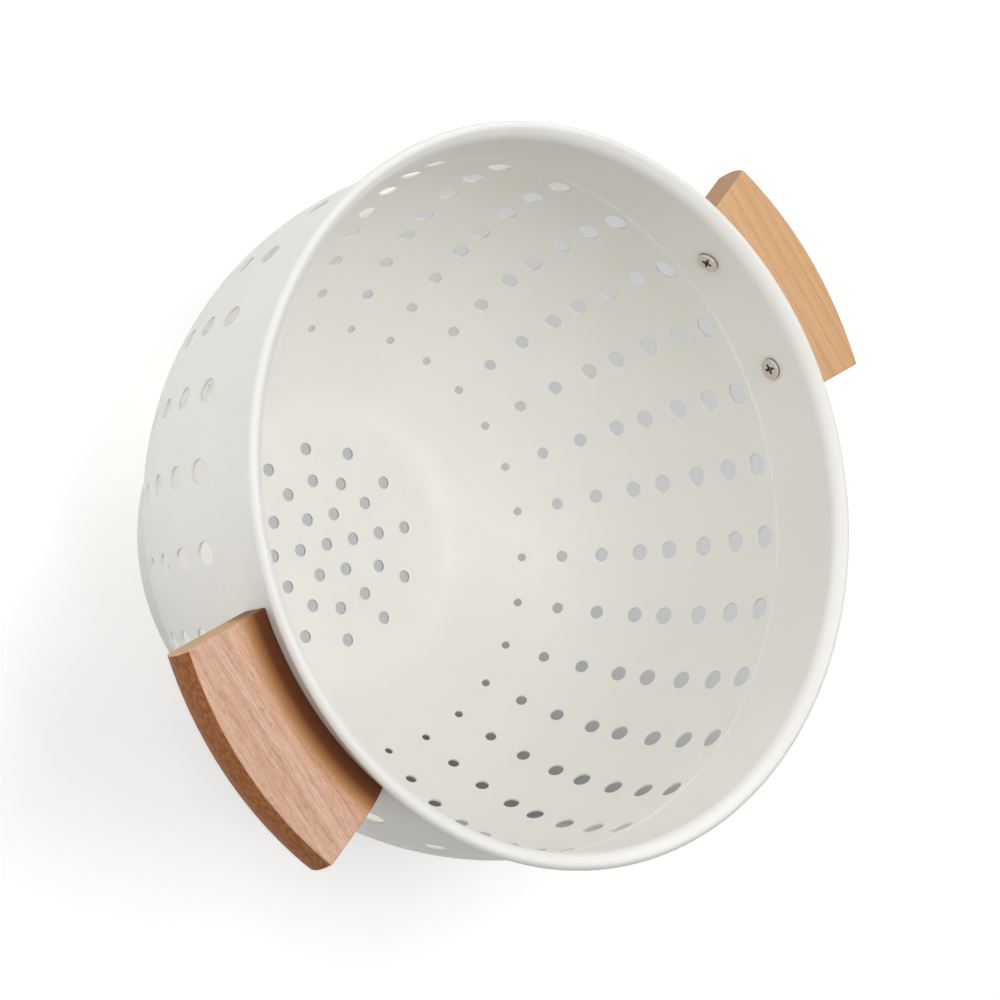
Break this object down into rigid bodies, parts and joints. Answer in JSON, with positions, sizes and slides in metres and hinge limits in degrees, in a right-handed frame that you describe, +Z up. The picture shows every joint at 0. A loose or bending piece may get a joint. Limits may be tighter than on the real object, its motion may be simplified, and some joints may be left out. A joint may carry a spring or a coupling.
{
  "type": "colander",
  "caption": "Footed metal colander with a deep punched bowl, a rolled rim and wooden side handles, for draining food.",
  "frame": {"origin": "on the table, at the middle of the foot ring and on the bowl's axis", "axes": "+Z up along the bowl's axis, X through the two handles, +X towards handle_right"},
  "size_m": [0.3228, 0.26, 0.1657],
  "materials": {
    "coated_steel": "warm white coating, satin",
    "handle_wood": "oiled wood, fine straight grain",
    "screw_steel": "plain machine finish",
    "insert_brass": "plain machine finish"
  },
  "bodies": {
    "root": {"bowl": "coated_steel", "foot_ring": "coated_steel", "handle_right": "handle_wood", "handle_left": "handle_wood", "handle_screw_1": "screw_steel", "handle_screw_2": "screw_steel", "handle_screw_3": "screw_steel", "handle_screw_4": "screw_steel", "handle_insert_1": "insert_brass", "handle_insert_2": "insert_brass", "handle_insert_3": "insert_brass", "handle_insert_4": "insert_brass"}
  },
  "joints": []
}
